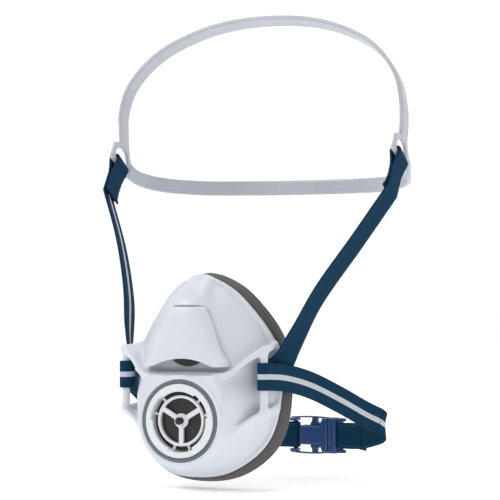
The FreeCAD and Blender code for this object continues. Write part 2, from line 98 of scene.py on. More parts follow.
def block(x, y, z, centre, half, rounding=0.4):
    """A box with rounded edges."""
    near = [abs(p - c) - h + rounding for p, c, h in zip((x, y, z), centre, half)]
    outside = np.sqrt(sum(np.maximum(q, 0) ** 2 for q in near))
    return outside + np.minimum(np.maximum(np.maximum(near[0], near[1]), near[2]), 0) - rounding


def rod(x, y, z, start, end, radius):
    """A bar with round ends between two points."""
    span = np.subtract(end, start)
    rel = [p - s for p, s in zip((x, y, z), start)]
    share = np.clip(sum(r * s for r, s in zip(rel, span)) / float(span @ span), 0, 1)
    return np.sqrt(sum((r - share * s) ** 2 for r, s in zip(rel, span))) - radius


def ring(x, y, z, inner, outer, front, back, height=0.0, rounding=0.4):
    """A ring about an axis parallel to Y, with rounded edges."""
    radius = np.sqrt(x ** 2 + (z - height) ** 2)
    across = abs(radius - (inner + outer) / 2) - (outer - inner) / 2 + rounding
    along = abs(y - (front + back) / 2) - (back - front) / 2 + rounding
    return (np.sqrt(np.maximum(across, 0) ** 2 + np.maximum(along, 0) ** 2)
            + np.minimum(np.maximum(across, along), 0) - rounding)


def even_distance(field, step):
    """Scale a field so that it is close to a true distance near its surface."""
    least_slope = 0.5
    slope = np.sqrt(sum(part ** 2 for part in np.gradient(field, step)))
    return field / np.maximum(slope, least_slope)


def smooth_line(knots, values, at):
    """A smooth curve through values at rising knots, flat-ended, read at other places."""
    knots, values = np.asarray(knots, float), np.asarray(values, float)
    slopes = np.gradient(values, knots)
    i = np.clip(np.searchsorted(knots, at) - 1, 0, len(knots) - 2)
    width = knots[i + 1] - knots[i]
    t = np.clip((at - knots[i]) / width, 0, 1)
    return ((1 + 2 * t) * (1 - t) ** 2 * values[i] + t * (1 - t) ** 2 * width * slopes[i]
            + t ** 2 * (3 - 2 * t) * values[i + 1] - t ** 2 * (1 - t) * width * slopes[i + 1])


ANGLES = np.linspace(0, math.pi, 121)
COARSE = slice(None, None, 4)


def polar_outline(half, centre):
    """How far an outline is from its centre at each angle from the top, for the half with x over 0."""
    points = np.array([(x, z - centre) for x, z in half], float)
    angle = np.arctan2(points[:, 0], points[:, 1])
    reach = np.hypot(points[:, 0], points[:, 1])
    # two mirrored points past each end make the curve level where it crosses the middle plane
    angle = np.concatenate([-angle[2:0:-1], angle, 2 * math.pi - angle[-2:-4:-1]])
    reach = np.concatenate([reach[2:0:-1], reach, reach[-2:-4:-1]])
    return smooth_line(angle, reach, ANGLES)


def lofted(grid, sections, centre):
    """A field of the body whose outlines at several depths are given as (y, half outline)."""
    depths = np.array([y for y, _ in sections], float)
    table = np.array([polar_outline(half, centre)[COARSE] for _, half in sections])
    x, z = grid.x[:, 0, :], grid.z[:, 0, :] - centre
    angle, reach = np.arctan2(abs(x), z), np.hypot(x, z)
    slices = []
    for y in grid.axes[1]:
        row = np.array([smooth_line(depths, column, y) for column in table.T])
        slices.append(reach - np.interp(angle, ANGLES[COARSE], row))
    return even_distance(np.stack(slices, axis=1), grid.step)


# the twelve edges of a unit cell, each as its two corners
EDGES = [(a, tuple(np.add(a, step))) for step in ((1, 0, 0), (0, 1, 0), (0, 0, 1))
         for a in ((0, 0, 0), (1, 0, 0), (0, 1, 0), (0, 0, 1), (1, 1, 0), (1, 0, 1), (0, 1, 1))
         if max(np.add(a, step)) < 2]


def surface_net(field, grid):
    """Vertices and quads of the field's zero surface, one vertex in each cell that it crosses."""
    inside = field < 0
    crossed = inside[:-1, :-1, :-1].astype(np.int8)
    for i, j, k in np.ndindex(2, 2, 2):
        if i or j or k:
            shape = [slice(s, None if s else -1) for s in (i, j, k)]
            crossed = crossed + inside[tuple(shape)]
    active = (crossed > 0) & (crossed < 8)
    cells = np.argwhere(active)
    index = np.full(active.shape, -1)
    index[active] = np.arange(len(cells))
    total, count = np.zeros((len(cells), 3)), np.zeros(len(cells))
    for a, b in EDGES:
        first, second = field[tuple((cells + a).T)], field[tuple((cells + b).T)]
        crossing = (first < 0) != (second < 0)
        share = np.where(crossing, first / np.where(crossing, first - second, 1), 0)
        place = np.array(a) + share[:, None] * np.subtract(b, a)
        total += place * crossing[:, None]
        count += crossing
    origin = np.array([axis[0] for axis in grid.axes])
    points = (cells + total / count[:, None]) * grid.step + origin
    quads = []
    for d in range(3):
        a, b = np.eye(3, dtype=int)[(d + 1) % 3], np.eye(3, dtype=int)[(d + 2) % 3]
        head = [slice(None)] * 3
        tail = [slice(None)] * 3
        head[d], tail[d] = slice(0, -1), slice(1, None)
        change = np.argwhere(inside[tuple(head)] != inside[tuple(tail)])
        around = [index[tuple((change - step).T)] for step in (0 * a, a, a + b, b)]
        faces = np.stack(around, axis=1)
        solid = inside[tuple(change.T)]
        quads.append(np.where(solid[:, None], faces, faces[:, ::-1]))
    return points, np.concatenate(quads)


# ---- pieces ----

def new_mesh(name, points, faces):
    """A smooth-shaded object from points in millimetres."""
    mesh = bpy.data.meshes.new(name)
    points = np.asarray(points, float) * MM
    mesh.from_pydata(points.tolist(), [], [tuple(map(int, face)) for face in faces])
    mesh.update()
    for polygon in mesh.polygons:
        polygon.use_smooth = True
    piece = bpy.data.objects.new(name, mesh)
    bpy.context.scene.collection.objects.link(piece)
    return piece


def settle(piece, material, body, nodes=()):
    """Give a piece its material, its body and the CAD nodes that it stands for."""
    for item in material if isinstance(material, (list, tuple)) else (material,):
        piece.data.materials.append(item)
    if body:
        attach(piece, body)
    if nodes:
        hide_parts(*nodes)
    return piece


def soften(piece, factor, times):
    """Even out the net's small steps."""
    smooth = piece.modifiers.new("even", "SMOOTH")
    smooth.factor = factor
    smooth.iterations = times
    depsgraph = bpy.context.evaluated_depsgraph_get()
    mesh = bpy.data.meshes.new_from_object(piece.evaluated_get(depsgraph))
    piece.modifiers.clear()
    piece.data = mesh
    return piece


def net_piece(name, grid, field, factor=0.4, times=2):
    """The softened net of a field."""
    return soften(new_mesh(name, *surface_net(field, grid)), factor, times)


# ---- materials ----

def new_material(name, color, roughness, **sockets):
    """A material with its node tree and its shader, whose other inputs are set by name."""
    material = bpy.data.materials.new(name)
    material.use_nodes = True
    shader = material.node_tree.nodes["Principled BSDF"]
    shader.inputs["Base Color"].default_value = (*color, 1)
    shader.inputs["Roughness"].default_value = roughness
    for key, value in sockets.items():
        shader.inputs[key.replace("_", " ")].default_value = value
    return material, material.node_tree, shader


def add(tree, kind, links=(), **values):
    """A node with its inputs linked or set by name, and its own properties."""
    node = tree.nodes.new(kind)
    for key, value in values.items():
        setattr(node, key, value)
    for key, value in links:
        if isinstance(value, bpy.types.NodeSocket):
            tree.links.new(value, node.inputs[key])
        else:
            node.inputs[key].default_value = value
    return node


def noise(tree, scale, detail):
    where = add(tree, "ShaderNodeTexCoord").outputs["Object"]
    links = [("Vector", where), ("Scale", scale), ("Detail", detail)]
    return add(tree, "ShaderNodeTexNoise", links).outputs["Fac"]


def ramp(tree, value, low, high, low_color, high_color):
    """A colour that runs from one value's colour to another's."""
    node = add(tree, "ShaderNodeValToRGB", [("Fac", value)])
    node.color_ramp.elements[0].position = low
    node.color_ramp.elements[1].position = high
    node.color_ramp.elements[0].color = (*low_color, 1)
    node.color_ramp.elements[1].color = (*high_color, 1)
    return node.outputs["Color"]


def spread(tree, value, low, high):
    """A value from 0 to 1, moved to another range."""
    return add(tree, "ShaderNodeMapRange", [("Value", value), ("To Min", low), ("To Max", high)]).outputs[0]


def bump(tree, shader, height, strength, distance):
    node = add(tree, "ShaderNodeBump", [("Height", height), ("Strength", strength), ("Distance", distance)])
    tree.links.new(node.outputs["Normal"], shader.inputs["Normal"])


def moulded(name, color, dark, roughness, grain, grain_depth):
    """Moulded plastic or rubber: a spark-eroded grain, faint colour drift and uneven gloss."""
    material, tree, shader = new_material(name, color, roughness)
    drift = noise(tree, 35.0, 2.0)
    tree.links.new(ramp(tree, drift, 0.3, 0.7, dark, color), shader.inputs["Base Color"])
    rough = spread(tree, noise(tree, 140.0, 4.0), roughness * 0.85, roughness * 1.2)
    tree.links.new(rough, shader.inputs["Roughness"])
    bump(tree, shader, noise(tree, grain, 3.0), 0.35, grain_depth)
    return material


def figure(tree, kind, first, second=0.0):
    """The result of a math node."""
    return add(tree, "ShaderNodeMath", [(0, first), (1, second)], operation=kind).outputs[0]


def wave(tree, value, length):
    return figure(tree, "SINE", figure(tree, "MULTIPLY", value, 2 * math.pi / length))


def blended(tree, share, first, second, kind="MIX"):
    links = [("Fac", share), ("Color1", first), ("Color2", second)]
    return add(tree, "ShaderNodeMixRGB", links, blend_type=kind).outputs["Color"]


def knit(tree, along, across):
    """The knitted weave's height from 0 to 1, and its thread colour in uneven patches, with painted shade
    that darkens the weave's low hollows.
    """
    ribs, rows = wave(tree, across, 0.75), wave(tree, along, 0.9)
    weave = spread(tree, figure(tree, "MULTIPLY", ribs, rows), 0.0, 1.0)
    weave.node.inputs["From Min"].default_value = -1.0
    # painted shade: the thread colour is darker where the weave is low, in its hollows
    threads_shaded_in_hollows = ramp(tree, weave, 0.1, 0.95, (0.0015, 0.018, 0.046), (0.006, 0.062, 0.13))
    patches = ramp(tree, noise(tree, 900.0, 2.0), 0.3, 0.7, (0.5, 0.5, 0.5), (1, 1, 1))
    return weave, blended(tree, 0.25, threads_shaded_in_hollows, patches, "MULTIPLY")


def webbing(name, striped):
    """Knitted elastic webbing. The UV map holds millimetres along and across the band."""
    material, tree, shader = new_material(name, (0.005, 0.045, 0.10), 0.85, Specular_IOR_Level=0.12)
    uv = add(tree, "ShaderNodeUVMap", uv_map="band").outputs["UV"]
    split = add(tree, "ShaderNodeSeparateXYZ", [("Vector", uv)])
    along, across = split.outputs["X"], split.outputs["Y"]
    weave, color = knit(tree, along, across)
    off_centre = figure(tree, "ABSOLUTE", figure(tree, "SUBTRACT", across, 7.5))
    if striped:
        stripe = figure(tree, "LESS_THAN", off_centre, 1.45)
        # painted shade: the silver stripe is darker where the weave is low, in its hollows
        silver_shaded_in_hollows = ramp(tree, weave, 0.0, 1.0, (0.42, 0.45, 0.49), (0.70, 0.73, 0.77))
        color = blended(tree, stripe, color, silver_shaded_in_hollows)
    else:
        off_edge = figure(tree, "ABSOLUTE", figure(tree, "SUBTRACT", off_centre, 6.2))
        edge = figure(tree, "LESS_THAN", off_edge, 0.28)
        dots = figure(tree, "GREATER_THAN", wave(tree, along, 1.5), 0.1)
        pick = figure(tree, "MULTIPLY", edge, dots)
        color = blended(tree, pick, color, (0.02, 0.11, 0.20, 1))
    tree.links.new(color, shader.inputs["Base Color"])
    bump(tree, shader, weave, 0.5, 0.0004)
    return material


SHELL_WHITE = moulded("shell_white", (0.67, 0.70, 0.76), (0.635, 0.665, 0.725), 0.34, 2600.0, 0.00002)
VALVE_WHITE = moulded("valve_white", (0.74, 0.755, 0.785), (0.70, 0.715, 0.75), 0.36, 2600.0, 0.00002)
SEAL_GREY = moulded("seal_grey", (0.068, 0.060, 0.063), (0.055, 0.048, 0.051), 0.55, 1500.0, 0.00005)
GASKET_GREY = moulded("gasket_grey", (0.125, 0.155, 0.18), (0.105, 0.135, 0.16), 0.5, 1800.0, 0.00004)
VALVE_BLACK = moulded("valve_black", (0.014, 0.014, 0.015), (0.010, 0.010, 0.011), 0.42, 1800.0, 0.00003)
CRADLE_GREY = moulded("cradle_grey", (0.47, 0.49, 0.54), (0.43, 0.45, 0.50), 0.3, 200.0, 0.0)
BUCKLE_BLUE = moulded("buckle_blue", (0.018, 0.062, 0.20), (0.015, 0.052, 0.17), 0.28, 1800.0, 0.00003)
WEB_PLAIN = webbing("webbing_plain", False)
WEB_STRIPED = webbing("webbing_striped", True)
THREAD = moulded("stitching", (0.012, 0.06, 0.12), (0.008, 0.04, 0.09), 0.7, 3000.0, 0.00003)

# ---- facepiece ----

# Half outlines as (x, z) from the top to the bottom, at rising depths y. SNOUT and DOME are the
# shell's two bodies, and BAND is the outside of the face seal.
SNOUT = (
    (0, ((0, 24.5), (12, 24.5), (20.5, 23.5), (24, 17), (24.8, 0), (21, -13), (12.5, -22), (0, -25.2))),
    (12, ((0, 27.5), (14, 27.5), (25, 26.5), (30, 20), (31, 2), (26.5, -13.5), (15.2, -23.6), (0, -27.3))),
    (20, ((0, 30), (15, 30), (28, 28.5), (33.5, 21), (34.3, 3), (30, -15), (17, -26.5), (0, -30))),
    (30, ((0, 33), (16, 33), (30, 31), (36.5, 23), (38, 4), (32, -16), (18, -28.5), (0, -32))),
)
DOME = (
    (8, ((0, 59), (9, 56), (16, 43), (23, 29), (26, 5), (22, -13), (12, -22.5), (0, -25.7))),
    (12.5, ((0, 64.5), (9.5, 61.5), (17.5, 47), (25.8, 31), (30.2, 6), (26, -13.5), (15, -23.6), (0, -27))),
    (20, ((0, 71.5), (10.5, 67.5), (21, 53), (31.6, 35), (33.6, 9), (30.6, -13), (18.5, -26), (0, -29.7))),
    (30, ((0, 78), (12, 73.3), (25.5, 58), (36.5, 39), (39.5, 11), (34, -16.2), (20.5, -28), (0, -32))),
    (44, ((0, 79.8), (13, 75.8), (28.5, 59.5), (40.6, 40), (43.2, 12), (36, -17), (21, -30), (0, -34))),
)
BAND = (
    (10, ((0, 65), (11, 61), (19.5, 49.5), (29.5, 33), (33, 6), (29, -15), (17.5, -26.5), (0, -30))),
    (28, ((0, 78.5), (13, 74), (26.5, 58.5), (38, 40), (41.5, 12), (35.5, -17), (21, -29.7), (0, -33.7))),
    (42, ((0, 79.8), (13.5, 75.7), (29.5, 60.6), (41.5, 41), (45, 12), (38, -18), (22, -31.5), (0, -35.5))),
    (56, ((0, 79), (13.5, 75.2), (29.5, 60.2), (41, 41), (43.8, 12), (37, -17), (20.5, -29.7), (0, -33.7))),
)
DOME_CENTRE, SNOUT_CENTRE = 14.0, 2.0
RIM_Y, RIM_Z, RIM_RADIUS = -75.5, 28.7, 115.6
EXHALE_Z = 43.2
SHELL_WALL, SEAL_WALL, LINING_INSET = 2.2, 2.0, 2.4
BAR_X, BAR_Y, STRAP_Z = 42.0, 18.0, 24.0
BAR_LOW, BAR_HIGH, BAR_RADIUS = 5, 38, 2.2


def rim_distance(grid):
    """How far behind the rim's curved surface a point is. The surface's axis is parallel to X."""
    return np.sqrt((grid.y - RIM_Y) ** 2 + (grid.z - RIM_Z) ** 2) - RIM_RADIUS


SHELF_X, SHELF_Y, SHELF_SLOPE = (20, 27, 36, 46), (4, 16, 26, 40), 0.14


def shelf(grid, rise, front, thick, outer):
    """A sloping plate that runs from the snout's side out to the strap bar and back to the rim."""
    x, y, z = abs(grid.x), grid.y, grid.z
    height = smooth_line(SHELF_X, rise, x) + SHELF_SLOPE * (y - BAR_Y)
    lead = smooth_line(SHELF_X, front, x)
    edge = smooth_line(SHELF_Y, outer, y)
    plate = common(abs(z - height) * 0.85 - thick, lead - y, 1.2)
    plate = common(plate, x - edge, 1.5)
    return common(plate, SHELF_X[0] - x)


def strap_side(grid):
    """The strap bar between a shoulder above it and a curved ledge below, on both sides."""
    x, y, z = abs(grid.x), grid.y, grid.z
    bar = rod(x, y, z, (BAR_X, BAR_Y, BAR_LOW), (BAR_X, BAR_Y, BAR_HIGH), BAR_RADIUS)
    shoulder = shelf(grid, (25.5, 27.5, 34.5, 39.5), (1.5, 5.0, 11.5, 16.0), 1.5, (27, 44.0, 43.6, 41.0))
    ledge = shelf(grid, (-7.0, -4.5, 1.5, 6.0), (4.5, 7.5, 12.5, 16.5), 1.3, (27, 43.6, 43.4, 41.5))
    return union(union(shoulder, ledge), bar, 2.0)


def nose_bridge(grid):
    """The shell's nose above the hood, flush with the hood's top."""
    x, y, z = grid.x, grid.y, grid.z
    half = smooth_line((60, 70, 80, 90), (10.6, 8.6, 5.5, 2), z)
    front = smooth_line((60, 66, 72, 78, 84), (5.6, 9.0, 15.0, 24.5, 36), z) + (abs(x) / 9.5) ** 2.2 * 2.4
    body = common(common(abs(x) - half, (front - y) * 0.8, 5.0), 62.4 - z, 0.6)
    return common(body, y - 34)


def shell_bores(x, y, z, shape):
    """The socket's bore and its gasket step, and the exhalation port."""
    shape = cut(shape, ring(x, y, z, 0, 20.25, -9, 20), 0.5)
    shape = cut(shape, ring(x, y, z, 12, 22.75, -9, 2.7), 0.5)
    return cut(shape, ring(x, y, z, 0, 13.1, 5, 40, EXHALE_Z), 0.5)


def make_shell():
    grid = Field((-50, -1, -42), (50, 42, 86), FINE)
    x, y, z = grid.x, grid.y, grid.z
    behind = rim_distance(grid)
    dome_side = lofted(grid, DOME, DOME_CENTRE)
    dome = common(dome_side, 12.0 - y, 3.0)
    snout = common(lofted(grid, SNOUT, SNOUT_CENTRE), 0.0 - y, 1.6)
    body = union(dome, snout, 1.8)
    hollow = common(body + SHELL_WALL, 4.5 - y, 1.0)
    flange = common(dome_side - 2.0, abs(behind + 1.3) - 1.3, 0.8)
    outside = union(body, nose_bridge(grid), 4.0)
    outside = union(outside, flange, 1.6)
    outside = union(outside, common(strap_side(grid), behind), 3.0)
    shape = common(cut(outside, hollow, 0.5), behind, 0.6)
    shape = shell_bores(x, y, z, shape)
    boss = ring(x, y, z, 22.9, 25.0, -0.55, 3.0, 0.0, 0.5)
    shape = union(shape, boss, 1.2)
    seam_hook = rod(x, y, z, (10.6, 9.0, 62.3), (14.2, 12.5, 67.6), 0.55)
    piece = net_piece("mask_shell", grid, cut(shape, seam_hook, 0.3))
    return settle(piece, SHELL_WHITE, "root", ["outer_shell"])


# The hood's half width and its front at rising heights
HOOD_Z = (29.3, 32.0, 36.0, 42.0, 50.0, 58.0, 62.0)
HOOD_HALF = (25.0, 24.2, 21.4, 18.2, 15.4, 12.2, 10.2)
HOOD_FRONT = (0.9, 1.5, 2.6, 2.9, 3.2, 4.2, 5.6)
HOOD_BACK, HOOD_WALL = 11.7, 1.6


def hood_body(grid):
    """The crowned hood as an open box, from its lower edge to the seam at its top."""
    x, y, z = grid.x, grid.y, grid.z
    half = smooth_line(HOOD_Z, HOOD_HALF, z)
    front = smooth_line(HOOD_Z, HOOD_FRONT, z) + (abs(x) / half) ** 2.4 * 2.6
    outside = common(abs(x) - half, (front - y) * 0.9, 4.5)
    inside = common(abs(x) - half + HOOD_WALL, (front - y) * 0.9 + HOOD_WALL, 3.0)
    inside = common(inside, z - 60.4, 1.0)
    middle, reach = (HOOD_Z[0] + HOOD_Z[-1]) / 2, (HOOD_Z[-1] - HOOD_Z[0]) / 2
    solid = common(common(outside, y - HOOD_BACK), abs(z - middle) - reach, 0.7)
    return cut(solid, inside, 0.4)


def make_hood():
    grid = Field((-28, -2, 27), (28, 14, 64), FINE * 0.8)
    x, y, z = grid.x, grid.y, grid.z
    mouth = np.sqrt(x ** 2 + (z + 4.4) ** 2) - 38.0
    mouth = common(mouth, abs(x) - 19.0, 2.0)
    shape = cut(hood_body(grid), common(mouth, y - 9.5), 0.8)
    valley = rod(abs(x), y, z, (13.6, 4.4, 58), (18.6, 5.2, 39), 0.7)
    piece = net_piece("exhalation_hood", grid, cut(shape, valley, 1.2))
    return settle(piece, SHELL_WHITE, "hood", ["valve_cover"])


def seal_lining(grid):
    """The outside of the seal's cup: the shell's outside, moved in past its wall and a small gap."""
    dome = common(lofted(grid, DOME, DOME_CENTRE) + LINING_INSET, 14.8 - grid.y, 2.0)
    snout = common(lofted(grid, SNOUT, SNOUT_CENTRE) + LINING_INSET, 4.7 - grid.y, 2.0)
    return union(dome, snout, 3.0)


def make_seal():
    grid = Field((-50, 3, -42), (50, 55, 88), FINE * 1.1)
    x, y, z = grid.x, grid.y, grid.z
    behind = rim_distance(grid)
    lining = seal_lining(grid)
    cup = common(cut(lining, lining + SEAL_WALL), behind - 1.0)
    bulge = 1.2 * np.sin(np.clip(behind / 13.0, 0, 1) * math.pi) - 0.6
    outer = lofted(grid, BAND, DOME_CENTRE) - bulge
    band_wall = common(cut(outer, outer + SEAL_WALL), abs(behind - 6.6) - 6.4, 1.0)
    lip = common(cut(outer, outer + 8.5, 1.5), abs(behind - 11.8) - 1.2, 1.6)
    bridge = common(cut(outer, outer + 5.4), abs(behind - 1.2) - 1.0, 0.5)
    shape = union(union(cup, bridge, 1.5), union(band_wall, lip, 3.5), 1.5)
    shape = cut(shape, ring(x, y, z, 0, 20.3, -5, 20))
    shape = cut(shape, ring(x, y, z, 0, 15.1, 5, 30, EXHALE_Z))
    piece = net_piece("face_cushion", grid, shape, 0.5, 4)
    return settle(piece, SEAL_GREY, "root", ["face_seal", "face_seal_cup"])


# ---- filter socket and valves ----

def turned_band(x, z, start, end):
    """Negative inside the sector between two angles, counted from +X towards +Z."""
    middle, reach = math.radians((start + end) / 2), math.radians((end - start) / 2)
    angle = abs((np.arctan2(z, x) - middle + math.pi) % (2 * math.pi) - math.pi)
    return (angle - reach) * np.sqrt(x ** 2 + z ** 2)


def make_socket():
    """The bayonet ring, three lugs with a stop step at the end of each, and the seat's ledge."""
    grid = Field((-21, -2, -21), (21, 15, 21), FINE * 0.6)
    x, y, z = grid.x, grid.y, grid.z
    shape = ring(x, y, z, 17.0, 20.2, -1.1, 14.0, 0, 0.5)
    for start, end in ((58, 127), (178, 247), (298, 367)):
        lug = ring(x, y, z, 15.9, 18.0, -1.1, 1.0, 0, 0.25)
        shape = union(shape, common(lug, turned_band(x, z, start, end), 0.3), 0.3)
        stop = ring(x, y, z, 16.4, 18.0, -0.1, 1.6, 0, 0.25)
        shape = union(shape, common(stop, turned_band(x, z, end - 1, end + 9), 0.3), 0.3)
    shape = union(shape, ring(x, y, z, 15.6, 17.8, 6.6, 8.0, 0, 0.2), 0.3)
    piece = net_piece("filter_socket_ring", grid, shape)
    return settle(piece, VALVE_WHITE, "root", ["bayonet_socket"])


def turned_block(grid, angle, centre, half, rounding):
    """A block whose length points away from the Y axis, at an angle counted from +X towards +Z."""
    x, z, turn = grid.x, grid.z, math.radians(angle)
    out, side = x * math.cos(turn) + z * math.sin(turn), z * math.cos(turn) - x * math.sin(turn)
    return block(out, grid.y, side, centre, half, rounding)


def make_seat():
    """The inhalation seat's ring and hub, three spokes, and two ribs beside each spoke's end."""
    grid = Field((-18, 0, -18), (18, 5, 18), FINE * 0.5)
    x, y, z = grid.x, grid.y, grid.z
    shape = ring(x, y, z, 12.3, 13.9, 1.2, 4.0)
    shape = union(shape, ring(x, y, z, 1.0, 4.0, 1.5, 3.6))
    for angle in (30, 150, 270):
        shape = union(shape, turned_block(grid, angle, (7.5, 2.6, 0), (5.6, 1.0, 1.35), 0.35), 0.5)
        for side in (-17, 17):
            rib = turned_block(grid, angle + side, (15.2, 3.1, 0), (1.7, 0.85, 0.7), 0.25)
            shape = union(shape, rib, 0.3)
    shape = cut(shape, ring(x, y, z, 0, 1.7, -5, 20), 0.2)
    piece = net_piece("inhalation_spider", grid, shape)
    return settle(piece, VALVE_WHITE, "root", ["inhalation_seat"])


def lathe(name, profile, height=0.0, turns=128):
    """A closed body turned about an axis parallel to Y, from (radius, y) points on its section."""
    points, faces = [], []
    count = len(profile)
    for i in range(turns):
        turn = 2 * math.pi * i / turns
        points += [(r * math.cos(turn), y, height + r * math.sin(turn)) for r, y in profile]
    for i in range(turns):
        a, b = i * count, (i + 1) % turns * count
        faces += [(a + j, a + (j + 1) % count, b + (j + 1) % count, b + j) for j in range(count)]
    piece = new_mesh(name, points, faces)
    mesh = bmesh.new()
    mesh.from_mesh(piece.data)
    bmesh.ops.remove_doubles(mesh, verts=mesh.verts, dist=1e-6)
    bmesh.ops.dissolve_degenerate(mesh, edges=mesh.edges, dist=1e-6)
    bmesh.ops.recalc_face_normals(mesh, faces=mesh.faces)
    mesh.to_mesh(piece.data)
    mesh.free()
    return piece


def rounded(profile, radius=0.3, steps=3):
    """Round every corner of a section that is off the axis."""
    result = []
    count = len(profile)
    for i in range(count):
        here, before, after = (Vector(profile[j % count]) for j in (i, i - 1, i + 1))
        if here.x < 1e-6:
            result.append(tuple(here))
            continue
        reach = min(radius, (before - here).length * 0.45, (after - here).length * 0.45)
        start, end = here + (before - here).normalized() * reach, here + (after - here).normalized() * reach
        for j in range(steps + 1):
            t = j / steps
            result.append(tuple(start * (1 - t) ** 2 + here * 2 * t * (1 - t) + end * t ** 2))
    return result


def make_gasket():
    section = ((20.35, 2.5), (20.35, 0.1), (20.9, -0.2), (22.1, -0.2), (22.65, 0.1), (22.65, 2.5))
    piece = lathe("socket_seal_ring", rounded(section, 0.35))
    return settle(piece, GASKET_GREY, "root", ["socket_gasket"])


def make_inhalation_flap():
    section = ((0, 5.1), (0, -3.6), (0.8, -3.6), (1.35, -2.6), (1.35, -1.8), (2.1, -1.5), (2.1, -0.9),
               (1.35, -0.45), (1.35, 3.9), (4.0, 4.1), (15.4, 4.1), (16.2, 4.3), (16.2, 4.8), (13.0, 5.1))
    piece = lathe("inhalation_flap_rubber", rounded(section, 0.3))
    return settle(piece, VALVE_BLACK, "inhalation_flap", ["inhalation_valve"])


def make_exhalation_flap():
    section = ((0, 9.4), (12.0, 9.4), (13.9, 9.75), (13.9, 10.3), (12.7, 10.5), (1.4, 10.5), (1.4, 15.9),
               (2.2, 16.4), (1.6, 17.8), (0, 17.8))
    piece = lathe("exhalation_flap_rubber", rounded(section, 0.25), EXHALE_Z)
    return settle(piece, VALVE_BLACK, "exhalation_flap", ["exhalation_valve"])


# ---- webbing ----

WIDTH, THICK = 15.0, 1.2
BAND_STEPS = 8
PIN_RADIUS, WRAP_GAP = 1.4, 0.2
BAR_REACH = BAR_RADIUS + WRAP_GAP + THICK / 2
PIN_REACH = PIN_RADIUS + WRAP_GAP + THICK / 2
UP, DOWN = (0, 0, 1), (0, 0, -1)


def smooth_path(route, spacing=2.0):
    """Points about evenly spaced on a smooth curve through the route."""
    route = [np.array(point, float) for point in route]
    ends = [2 * route[0] - route[1]] + route + [2 * route[-1] - route[-2]]
    path = []
    for a, b, c, d in zip(ends, ends[1:], ends[2:], ends[3:]):
        count = max(2, round(float(np.linalg.norm(c - b)) / spacing))
        gaps = [max(np.linalg.norm(q - p), 1e-6) ** 0.5 for p, q in ((a, b), (b, c), (c, d))]
        knots = np.cumsum([0] + gaps)
        for i in range(count):
            t = knots[1] + (knots[2] - knots[1]) * i / count
            mix = [p + (q - p) * (t - s) / (e - s)
                   for p, q, s, e in zip((a, b, c), (b, c, d), knots, knots[1:])]
            pair = [p + (q - p) * (t - s) / (e - s)
                    for p, q, s, e in zip(mix, mix[1:], knots, knots[2:])]
            path.append(pair[0] + (pair[1] - pair[0]) * (t - knots[1]) / (knots[2] - knots[1]))
    return path + [route[-1]]


def turn_directions(first, second, count, start, end):
    """Directions that turn from one to another between two shares of the way."""
    share = np.clip((np.linspace(0, 1, count) - start) / (end - start), 0, 1)
    share = (share * share * (3 - 2 * share))[:, None]
    return list(np.array(first, float) * (1 - share) + np.array(second, float) * share)


def band_section(width, thick):
    """A band's section: one face, a rounded edge, the other face and the other edge."""
    half, edge, inset = width / 2, thick / 2, 0.4
    flat = [(-half + inset + (width - 2 * inset) * i / BAND_STEPS, edge) for i in range(BAND_STEPS + 1)]
    return flat + [(half, 0.0)] + [(u, -v) for u, v in reversed(flat)] + [(-half, 0.0)]


def band_points(stations, sides, section):
    """The section across the path at every station, and each station's distance along the path."""
    points, run, length = [], [], 0.0
    last = len(stations) - 1
    for i, station in enumerate(stations):
        along = stations[min(i + 1, last)] - stations[max(i - 1, 0)]
        along = along / np.linalg.norm(along)
        side = np.array(sides[i], float)
        side = side - along * (along @ side)
        side = side / np.linalg.norm(side)
        face = np.cross(along, side)
        length += float(np.linalg.norm(station - stations[i - 1])) if i else 0.0
        run.append(length)
        points += [station + side * u + face * v for u, v in section]
    return points, run


def band_faces(spans, count):
    """The quads between neighbouring sections, then a cap at each end."""
    faces = []
    for here in range(0, spans * count, count):
        there = here + count
        for j in range(count):
            after = (j + 1) % count
            faces.append((here + j, here + after, there + after, there + j))
    last = spans * count
    return faces + [tuple(range(count)), tuple(last + j for j in reversed(range(count)))]


def face_outwards(mesh):
    shape = bmesh.new()
    shape.from_mesh(mesh)
    bmesh.ops.recalc_face_normals(shape, faces=shape.faces)
    shape.to_mesh(mesh)
    shape.free()


def band(name, stations, sides, width=WIDTH, thick=THICK, flip=False):
    """A flat band. Its second material is on the face that is opposite along x side."""
    section = band_section(width, thick)
    count, spans = len(section), len(stations) - 1
    points, run = band_points([np.array(point, float) for point in stations], sides, section)
    if flip:
        points = [point * MIRROR for point in points]
    piece = new_mesh(name, points, band_faces(spans, count))
    mesh = piece.data
    layer = mesh.uv_layers.new(name="band")
    for loop in mesh.loops:
        station, corner = divmod(loop.vertex_index, count)
        layer.data[loop.index].uv = (run[station], section[corner][0] + width / 2)
    second_face = range(BAND_STEPS + 1, 2 * BAND_STEPS + 3)
    for polygon in mesh.polygons[:spans * count]:
        polygon.material_index = int(polygon.index % count in second_face)
    face_outwards(mesh)
    return piece


# The cradle's left slot, the direction down its web and the direction along the slot
SLOT = np.array((90.0, 103.0, 150.0))
LEAN = math.radians(33)
SLOT_DOWN = np.array((0, -math.sin(LEAN), -math.cos(LEAN)))
SLOT_WAY = np.array((0, math.cos(LEAN), -math.sin(LEAN)))


def slot_point(down, out):
    return SLOT + SLOT_DOWN * down + np.array((out, 0, 0))


